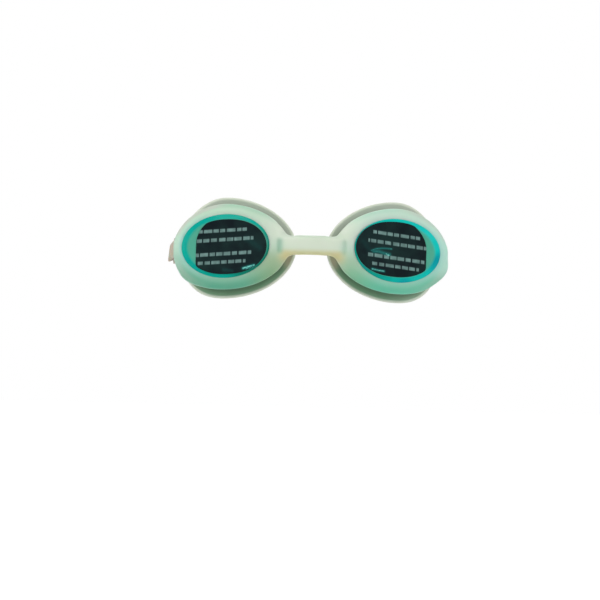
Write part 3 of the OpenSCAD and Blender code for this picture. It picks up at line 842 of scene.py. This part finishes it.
def strapLine():
    s = strapSet
    barX = padX + s["sideGap"] + s["buckleT"] / 2
    barY = pivotY + s["reach"] + s["slot"] + s["barR"]
    turnR = s["barR"] + s["gap"] + s["thick"] / 2
    mainX = barX - turnR
    tailDrop = 2 * turnR - s["thick"] - s["gap"]
    end = s["tailRound"] * (1 - np.cos(np.linspace(0, math.pi / 2, s["endSteps"])))
    d = np.concatenate([s["tail"] - end,
                        np.arange(s["tail"] - s["tailRound"] - s["stepTail"], 0, -s["stepTail"]), [0]])
    tail = np.stack([barX + turnR - tailDrop * ease(d / s["tailEase"]), barY + d], -1)
    q = np.linspace(0, math.pi, s["turnSteps"] + 1)[1:]
    bend = np.stack([barX + turnR * np.cos(q), barY - turnR * np.sin(q)], -1)
    run = np.linspace(barY, s["straight"], s["straightSteps"] + 1)[1:]
    straight = np.stack([np.full(s["straightSteps"], mainX), run], -1)
    q = np.linspace(0, math.pi / 2, s["headSteps"] + 1)[1:]
    backY = s["back"] + s["thick"] / 2
    head = np.stack([mainX * np.cos(q), s["straight"] + (backY - s["straight"]) * np.sin(q)], -1)
    half = np.concatenate([tail, bend, straight, head])
    slitAt = len(tail) + len(bend) + len(straight) + round(s["headSteps"] * s["slitFrom"])
    return half, s["tail"] - d, slitAt


def strapSection(halfWide, deep):
    # cage points: the flat sides, with the slit's edges on both, and rounded corners
    s = strapSet
    half, slit, soft = s["thick"] / 2, s["slit"] / 2, s["soft"]
    ups = [soft - halfWide, -halfWide * s["cage"], -slit, slit, halfWide * s["cage"], halfWide - soft]
    section = [(half, up) for up in ups] + [(half - soft, halfWide), (soft - half, halfWide)]
    section += [(deep - half, up) for up in ups[::-1]]
    return section + [(soft - half, -halfWide), (half - soft, -halfWide)]


def strapFaces(count, slitAt):
    # m points round the band: 2 and 3 are the slit's edges inside, 10 and 11 those outside
    m, slitEnd = 16, count - 1 - slitAt
    faces = []
    for i in range(count - 1):
        apart = (2, 10) if slitAt <= i < slitEnd else ()
        faces += [quad for j, quad in enumerate(band(i * m, (i + 1) * m, m)) if j not in apart]
    for i in range(slitAt, slitEnd):
        for a, b in ((11, 2), (3, 10)):
            faces.append((i * m + a, i * m + b, (i + 1) * m + b, (i + 1) * m + a))
    faces += [tuple(i * m + k for k in (2, 3, 10, 11)) for i in (slitAt, slitEnd)]
    panels = [(j, j + 1, 12 - j, 13 - j) for j in range(6)] + [(13, 14, 15, 0)]
    for i in (0, count - 1):
        faces += [tuple(i * m + k for k in panel) for panel in panels]
    return faces


def strapPiece(name):
    s = strapSet
    half, fromEnd, slitAt = strapLine()
    line = np.concatenate([half, half[-2::-1] * [-1, 1]])
    count = len(line)
    along = np.gradient(line, axis=0)
    side = np.stack([along[:, 1], -along[:, 0]], -1) / np.linalg.norm(along, axis=1)[:, None]
    rise = rad(s["rise"])
    points = []
    for i in range(count):
        k = min(i, count - 1 - i)
        inTail = k < len(fromEnd)
        d = fromEnd[k] if inTail else s["tail"]
        short = max(0.0, s["tailRound"] - d)
        halfWide = s["wide"] / 2 - s["tailRound"] + math.sqrt(max(0, s["tailRound"] ** 2 - short ** 2))
        deep = sag = 0.0
        if inTail:
            sag = math.sin(math.pi * min(1.0, (s["tail"] - d) / s["bowRun"])) ** 2
            if s["grooveRun"][0] < d < s["grooveRun"][1]:
                wave = math.cos((d - s["grooveRun"][0]) / s["grooveStep"] * math.tau)
                deep = s["grooveDeep"] * ease(0.5 - s["grooveSharp"] * wave)
        for out, up in strapSection(halfWide, deep):
            x, y = line[i] + side[i] * out
            if i > count / 2:
                x -= sag * (s["bowRight"] - s["bowTwist"] * 2 * up / s["wide"])
                up -= sag * s["bowDrop"]
            else:
                x += sag * s["bowLeft"]
            points.append((x, pivotY + (y - pivotY) * math.cos(rise) - up * math.sin(rise),
                           pivotZ + (y - pivotY) * math.sin(rise) + up * math.cos(rise)))
    piece = turnOut(linkMesh(name, np.array(points), strapFaces(count, slitAt)))
    step = piece.modifiers.new("soften", "SUBSURF")
    step.levels = step.render_levels = 1
    return applied(piece)


strap = strapPiece("headStrap")
strap.data.shade_smooth()
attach(strap, "strap")
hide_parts("head_strap")
print("strap made:", len(strap.data.polygons), "faces")


# Node helpers and the effects that materials share
def addNode(tree, kind, **values):
    node = tree.nodes.new(kind)
    for name, value in values.items():
        setattr(node, name, value)
    return node


def fill(node, values):
    for name, value in values.items():
        node.inputs[name].default_value = value
    return node


def feed(socket, value):
    # a number or colour is set on the socket, and anything else is linked to it in the socket's tree
    if isinstance(value, (int, float)):
        socket.default_value = value
    elif isinstance(value, tuple):
        socket.default_value = (*value, 1)
    else:
        socket.id_data.links.new(value, socket)


def newGroup(name, inputs, outputs):
    # inputs holds each one's name and first value, which is None for a vector
    tree = bpy.data.node_groups.new(name, "ShaderNodeTree")
    for label, value in inputs.items():
        kind = "NodeSocketVector" if value is None else "NodeSocketFloat"
        made = tree.interface.new_socket(label, in_out="INPUT", socket_type=kind)
        if value is not None:
            made.default_value = value
    for label in outputs:
        tree.interface.new_socket(label, in_out="OUTPUT", socket_type="NodeSocketFloat")
    return tree, tree.nodes.new("NodeGroupInput").outputs, tree.nodes.new("NodeGroupOutput").inputs


def mathNode(how, a, b=None, clamp=False):
    node = addNode(a.id_data, "ShaderNodeMath", operation=how, use_clamp=clamp)
    feed(node.inputs[0], a)
    if b is not None:
        feed(node.inputs[1], b)
    return node.outputs[0]


def times(a, b, clamp=False):
    return mathNode("MULTIPLY", a, b, clamp)


def plus(a, b):
    return mathNode("ADD", a, b)


def gapTo(a, b):
    return mathNode("ABSOLUTE", mathNode("SUBTRACT", a, b))


def above(value, level, gain):
    # 0 up to a level, and from there a quick rise to 1
    return times(mathNode("SUBTRACT", value, level, True), gain, True)


def noiseAt(scale, detail, rough, vector):
    node = fill(addNode(vector.id_data, "ShaderNodeTexNoise"), {"Detail": detail, "Roughness": rough})
    feed(node.inputs["Scale"], scale)
    feed(node.inputs["Vector"], vector)
    return node.outputs["Fac"]


def objectPlace(tree):
    return addNode(tree, "ShaderNodeTexCoord").outputs["Object"]


def mapped(value, how, ends):
    node = fill(addNode(value.id_data, "ShaderNodeMapRange", interpolation_type=how), ends)
    feed(node.inputs["Value"], value)
    return node.outputs[0]


def softStep(value, low, high):
    return mapped(value, "SMOOTHSTEP", {"From Min": low, "From Max": high})


def spread(value, low, high):
    return mapped(value, "LINEAR", {"To Min": low, "To Max": high})


def mixColours(amount, a, b):
    node = addNode(amount.id_data, "ShaderNodeMix", data_type="RGBA")
    for socket, value in ((0, amount), (6, a), (7, b)):
        feed(node.inputs[socket], value)
    return node.outputs[2]


def mouldedGroup():
    # soft mottle, fine moulded grain and sparse dust, for every silicone and plastic
    tree, given, out = newGroup(
        "mouldedSurface", {"Mottle Scale": 60.0, "Grain Scale": 2600.0, "Dust": 0.3},
        ("Mottle", "Grain", "Dust Mask"))
    spot = objectPlace(tree)
    speck = above(noiseAt(1500.0, 1, 0.4, spot), 0.69, 9.0)
    patch = above(noiseAt(90.0, 2, 0.5, spot), 0.45, 4.0)
    feed(out["Mottle"], noiseAt(given["Mottle Scale"], 4, 0.55, spot))
    feed(out["Grain"], noiseAt(given["Grain Scale"], 2, 0.5, spot))
    feed(out["Dust Mask"], times(times(speck, patch), given["Dust"], True))
    return tree


def wearGroup():
    # pale worn edges from the surface's own sharpness, broken up by noise
    tree, given, out = newGroup("edgeWear", {"Amount": 0.5, "Break Up": 400.0}, ("Wear",))
    edge = above(addNode(tree, "ShaderNodeNewGeometry").outputs["Pointiness"], 0.51, 11.0)
    broken = noiseAt(given["Break Up"], 4, 0.6, objectPlace(tree))
    worn = times(edge, times(broken, 1.5, True))
    feed(out["Wear"], times(worn, given["Amount"], True))
    return tree


def printGroup():
    # a row of plain pale dashes of uneven length with soft ends: place is in mm
    tree, given, out = newGroup(
        "dashRows", {"Place": None, "Height": 0.0, "Tall": 1.1, "From": -15.0, "To": 10.0, "Seed": 0.0},
        ("Print",))
    place, height = given["Place"], given["Height"]
    parts = addNode(tree, "ShaderNodeSeparateXYZ")
    feed(parts.inputs[0], place)
    u, v = parts.outputs[0], parts.outputs[1]
    along = addNode(tree, "ShaderNodeCombineXYZ")
    feed(along.inputs[0], u)
    feed(along.inputs[1], height)
    # dashes 4.6 mm apart, which a slow waver stretches and shortens
    waver = times(noiseAt(0.16, 1, 0.5, along.outputs[0]), 5.0)
    cell = mathNode("DIVIDE", plus(u, waver), 4.6)
    cell = plus(cell, times(given["Seed"], 0.37))
    bar = softStep(gapTo(mathNode("FRACT", cell), 0.5), 0.45, 0.37)
    row = softStep(mathNode("SUBTRACT", given["Tall"], gapTo(v, height)), -0.4, 0.35)
    grain = softStep(noiseAt(0.35, 1, 0.4, place), 0.36, 0.62)
    start = mathNode("GREATER_THAN", u, given["From"])
    stop = mathNode("LESS_THAN", u, given["To"])
    total = times(times(bar, row), times(start, stop))
    feed(out["Print"], times(total, plus(times(grain, 0.14), 0.57)))
    return tree


moulded, wear, dashes = mouldedGroup(), wearGroup(), printGroup()


def newMaterial(name, **values):
    material = bpy.data.materials.new(name)
    material.use_nodes = True
    tree = material.node_tree
    shader = tree.nodes["Principled BSDF"]
    fill(shader, {key.replace("_", " "): value for key, value in values.items()})
    return material, tree, shader


def place(tree, group, **values):
    node = addNode(tree, "ShaderNodeGroup", node_tree=group)
    for name, value in values.items():
        feed(node.inputs[name.replace("_", " ")], value)
    return node.outputs


def meshValue(tree, name):
    return addNode(tree, "ShaderNodeAttribute", attribute_name=name).outputs["Fac"]


def tinted(colour, look, *names):
    # lays each of the mesh's named tints over the colour
    for name in names:
        colour = mixColours(meshValue(colour.id_data, name + "Tint"), colour, look[name])
    return colour


def mottled(skin, look, a, b):
    return mixColours(spread(skin["Mottle"], *look["mottled"]), a, b)


def finish(made, skin, colour, look, relief="Grain"):
    # colour, roughness from the mottle and a fine bump, which each moulded surface ends with
    material, tree, shader = made
    strength, distance = look["bump"]
    bump = fill(addNode(tree, "ShaderNodeBump"), {"Strength": strength, "Distance": distance})
    feed(bump.inputs["Height"], skin[relief])
    rough = spread(skin["Mottle"], *look["rough"])
    for name, value in (("Base Color", colour), ("Roughness", rough), ("Normal", bump.outputs[0])):
        feed(shader.inputs[name], value)
    return material


frameLook = {
    # Painted light and shade: apart from pale and dust, these colours are painted lit copies, glows, a sheen
    # and shades, and edge is also the mottle's second tone
    "pale": (0.52, 0.71, 0.55), "paleLitSide": (0.55, 0.74, 0.62), "sea": (0.10, 0.44, 0.29),
    "seaLitSide": (0.13, 0.58, 0.40), "nose": (0.72, 0.79, 0.67), "warm": (0.66, 0.60, 0.30),
    "olive": (0.35, 0.46, 0.23), "sheen": (0.64, 0.58, 0.54), "halo": (0.46, 0.80, 0.69),
    "cast": (0.28, 0.66, 0.58), "edge": (0.46, 0.59, 0.46), "slot": (0.25, 0.50, 0.36),
    "dust": (0.80, 0.84, 0.78), "mottled": (0.0, 0.16), "rough": (0.34, 0.5), "bump": (0.12, 0.0002),
}


def milkySilicone():
    k = frameLook
    made = newMaterial(
        "milkySilicone", Subsurface_Weight=0.55, Subsurface_Scale=0.004, Subsurface_Radius=(0.8, 1.0, 0.8),
        IOR=1.41, Specular_IOR_Level=0.4)
    tree = made[1]
    skin = place(tree, moulded, Mottle_Scale=55.0, Dust=0.35)
    # painted light: the lit side takes the lighter, bluer copies of the pale and sea colours
    bright = meshValue(tree, "litSide")
    sea = mixColours(bright, k["sea"], k["seaLitSide"])
    # painted light: paler towards the bar; painted shade: darker towards the cup's edge
    colour = tinted(mixColours(bright, k["pale"], k["paleLitSide"]), k, "nose", "edge")
    # painted shade: the sea colour low on the cups and along their top edge
    colour = mixColours(meshValue(tree, "seaTint"), colour, sea)
    # painted light and shade: teal glows from halo and cast, an olive shade low by the nose, and a greyer
    # sheen
    colour = tinted(colour, k, "halo", "cast", "olive", "sheen")
    # painted shade: warm under the bar and slot in its slots; edge, the painted shade at the rim, is also
    # the mottle's second tone
    colour = tinted(mottled(skin, k, colour, k["edge"]), k, "warm", "slot")
    return finish(made, skin, mixColours(skin["Dust Mask"], colour, k["dust"]), k)


sealLook = {
    # painted shade: the root and low colours are darker copies for the skirt near the frame and low down
    "skirt": (0.47, 0.52, 0.44), "skirtRoot": (0.36, 0.41, 0.34), "low": (0.18, 0.34, 0.20),
    "lowRoot": (0.075, 0.18, 0.09), "nose": (0.46, 0.43, 0.30), "rim": (0.68, 0.73, 0.62),
    "mottle": (0.24, 0.32, 0.23), "mottled": (0.0, 0.3), "rough": (0.28, 0.42), "bump": (0.1, 0.0002),
}


def clearSilicone():
    k = sealLook
    made = newMaterial(
        "clearSilicone", Subsurface_Weight=0.3, Subsurface_Scale=0.0008, Subsurface_Radius=(0.9, 1.0, 0.8),
        IOR=1.41, Specular_IOR_Level=0.4)
    tree = made[1]
    skin = place(tree, moulded, Mottle_Scale=80.0)
    # painted shade: darker towards the root and towards the bottom
    root = meshValue(tree, "rootTint")
    skirt, low = (mixColours(root, k[name], k[name + "Root"]) for name in ("skirt", "low"))
    colour = tinted(mixColours(meshValue(tree, "lowTint"), skirt, low), k, "nose")
    # painted highlight along the rolled rim
    return finish(made, skin, tinted(mottled(skin, k, colour, k["mottle"]), k, "rim"), k)


lensLook = {
    # the bright colour is a painted highlight and the nasal colour a painted shade
    "bevel": (0.0, 0.44, 0.32), "bright": (0.005, 0.64, 0.58), "deep": (0.0, 0.33, 0.27),
    "nasal": (0.005, 0.20, 0.13), "window": (0.09, 0.43, 0.30), "blue": (0.0, 0.36, 0.42),
    "mottled": (-0.5, 1.3), "blueScale": 75.0, "blueFrom": (0.48, 0.8),
}


def tintedLens():
    k = lensLook
    material, tree, shader = newMaterial(
        "tintedLens", Roughness=0.1, IOR=1.58, Specular_IOR_Level=0.02, Transmission_Weight=0.05,
        Coat_Weight=0.02, Coat_Roughness=0.03)
    skin = place(tree, moulded, Mottle_Scale=40.0)
    # painted highlight round the bevel
    colour = tinted(mottled(skin, k, k["bevel"], k["deep"]), k, "bright")
    patches = softStep(noiseAt(k["blueScale"], 1, 0.5, objectPlace(tree)), *k["blueFrom"])
    # painted shade on the bevel's side away from the highlight
    colour = tinted(mixColours(patches, colour, k["blue"]), k, "nasal")
    colour = mixColours(meshValue(tree, "bevelTint"), k["window"], colour)
    feed(shader.inputs["Base Color"], colour)
    return material


filmLook = {
    # painted shade: the dark ground and its mottle make the film near black, as the shade behind the lens;
    # the film and its print are real
    "dark": (0.004, 0.010, 0.013), "cast": (0.011, 0.034, 0.031), "ink": (0.28, 0.47, 0.44),
    # painted reflections: the teal crease colour and the pale cyan glints along the creases
    "creaseSheen": (0.02, 0.22, 0.20), "glint": (0.20, 0.66, 0.58), "mottled": (-0.9, 1.5),
    "rough": (0.12, 0.3), "bump": (0.25, 0.0006), "fadeScale": 300.0, "fade": (0.3, 1.25),
    "breakScale": 1100.0, "break": (0.2, 1.7), "glintFrom": (0.55, 1.0),
    # the printed rows: height, half height of a dash, from, to, seed
    "rows": ((8.9, 0.9, -15.0, 13.4, 3.0), (3.6, 0.95, -17.8, 17.4, 41.0),
             (-4.6, 0.95, -18.5, 16.3, 77.0), (-9.4, 0.9, -15.2, 13.1, 19.0)),
}


def shadeDarkFilm():
    k = filmLook
    made = newMaterial("shadeDarkFilm", IOR=1.45, Specular_IOR_Level=0.08)
    tree = made[1]
    skin = place(tree, moulded, Mottle_Scale=70.0)
    where = addNode(tree, "ShaderNodeAttribute", attribute_name="filmPlace").outputs["Vector"]
    total = 0.0
    for high, tall, start, stop, seed in k["rows"]:
        row = place(tree, dashes, Place=where, Height=high, Tall=tall, From=start, To=stop, Seed=seed)
        total = mathNode("MAXIMUM", row["Print"], total)
    spot = objectPlace(tree)
    fade = spread(noiseAt(k["fadeScale"], 2, 0.5, spot), *k["fade"])
    # painted reflection: a teal sheen along the creases, with pale cyan glints where it is strongest
    creaseSheen = meshValue(tree, "creaseSheenMask")
    broken = spread(noiseAt(k["breakScale"], 3, 0.6, spot), *k["break"])
    glint = softStep(times(creaseSheen, broken), *k["glintFrom"])
    # painted shade: the film's near-black ground
    colour = mottled(skin, k, k["dark"], k["cast"])
    for amount, name in ((creaseSheen, "creaseSheen"), (glint, "glint"), (times(total, fade, True), "ink")):
        colour = mixColours(amount, colour, k[name])
    return finish(made, skin, colour, k, "Mottle")


hardLook = {
    "base": (0.46, 0.40, 0.31), "shade": (0.28, 0.24, 0.18), "worn": (0.68, 0.64, 0.55),
    "mottled": (-0.3, 0.6), "rough": (0.28, 0.46), "bump": (0.12, 0.0002), "mottleScale": 160.0,
    "dust": 0.5, "wear": 0.7,
}
strapLook = {
    "base": (0.50, 0.45, 0.35), "shade": (0.38, 0.35, 0.27), "worn": (0.62, 0.58, 0.48),
    "mottled": (0.0, 0.7), "rough": (0.38, 0.55), "bump": (0.15, 0.0002), "mottleScale": 70.0,
    "dust": 0.6, "wear": 0.5,
}


def handled(made, k):
    # a mottled surface with worn edges and dust, as on what is gripped and pulled
    tree = made[1]
    skin = place(tree, moulded, Mottle_Scale=k["mottleScale"], Dust=k["dust"])
    colour = mottled(skin, k, k["base"], k["shade"])
    for mask in (place(tree, wear, Amount=k["wear"])["Wear"], skin["Dust Mask"]):
        colour = mixColours(mask, colour, k["worn"])
    return finish(made, skin, colour, k)


def dress(material, *names):
    for name in names:
        data = bpy.data.objects[name].data
        data.materials.clear()
        data.materials.append(material)


dress(milkySilicone(), "frontFrame")
dress(clearSilicone(), "leftSeal", "rightSeal")
dress(tintedLens(), "leftLens", "rightLens")
dress(shadeDarkFilm(), "leftFilm", "rightFilm")
hardPlastic = handled(newMaterial("hardPlastic", IOR=1.5, Specular_IOR_Level=0.5), hardLook)
strapSilicone = newMaterial(
    "strapSilicone", Subsurface_Weight=0.25, Subsurface_Scale=0.002, IOR=1.41, Specular_IOR_Level=0.4)
strapSilicone = handled(strapSilicone, strapLook)
for side in ("left", "right"):
    dress(hardPlastic, side + "Buckle", side + "Cap", side + "_strap_anchor")
    dress(strapSilicone, side + "Keeper")
dress(strapSilicone, "headStrap")
print("materials set")


# Floor, world and lamps
stageSet = {
    "floorZ": -0.15, "size": 6.0, "floor": (0.86, 0.86, 0.86), "glowNear": 0.36, "glowFar": 0.62,
    "glowRun": (0.3, 2.2), "worldLight": 0.50, "worldSeen": 1.0,
}
lampSet = [  # place, aimed at, size, watts
    ((-0.35, -0.7, 0.85), (0, 0.02, 0), 0.6, 4.2),
    ((0.75, -0.5, 0.35), (0, 0.02, 0), 0.45, 1.8),
    ((-0.8, -0.1, 0.15), (0, 0.02, 0), 0.35, 1.2),
    ((0.1, 0.9, 0.8), (0, 0.08, 0), 0.6, 2.6),
]


def seenRay(tree):
    # 1 where a camera, glossy or transmission ray looks
    path = addNode(tree, "ShaderNodeLightPath")
    seen = mathNode("MAXIMUM", path.outputs["Is Camera Ray"], path.outputs["Is Glossy Ray"])
    return mathNode("MAXIMUM", seen, path.outputs["Is Transmission Ray"])


def makeFloor():
    half = stageSet["size"] / 2 / mm
    points = [(-half, -half, 0), (half, -half, 0), (half, half, 0), (-half, half, 0)]
    floor = linkMesh("floor", points, [(0, 1, 2, 3)], False)
    floor.location.z = stageSet["floorZ"]
    material, tree, shader = newMaterial("paleFloor", Roughness=0.9, Specular_IOR_Level=0.1)
    fill(shader, {"Base Color": (*stageSet["floor"], 1), "Emission Color": (1, 1, 1, 1)})
    # the glow grows with the distance from the middle, so that the far floor meets the backdrop
    away = addNode(tree, "ShaderNodeVectorMath", operation="LENGTH")
    feed(away.inputs[0], objectPlace(tree))
    far = softStep(away.outputs["Value"], *stageSet["glowRun"])
    rise = times(far, stageSet["glowFar"] - stageSet["glowNear"])
    glow = times(seenRay(tree), plus(rise, stageSet["glowNear"]))
    feed(shader.inputs["Emission Strength"], glow)
    floor.data.materials.append(material)


def makeWorld():
    world = bpy.data.worlds.new("studio")
    scene.world = world
    world.use_nodes = True
    tree = world.node_tree
    back = tree.nodes["Background"]
    fill(back, {"Color": (1, 1, 1, 1)})
    low, high = stageSet["worldLight"], stageSet["worldSeen"]
    feed(back.inputs["Strength"], plus(times(seenRay(tree), high - low), low))


def makeLamps():
    for at, aim, size, watts in lampSet:
        data = bpy.data.lights.new("softbox", "AREA")
        data.shape, data.size, data.energy = "SQUARE", size, watts
        lamp = put(bpy.data.objects.new("softbox", data))
        lamp.location = at
        lamp.rotation_euler = (Vector(aim) - Vector(at)).to_track_quat("-Z", "Y").to_euler()


makeFloor()
makeWorld()
makeLamps()
scene.view_settings.view_transform = "Standard"
print("stage set")
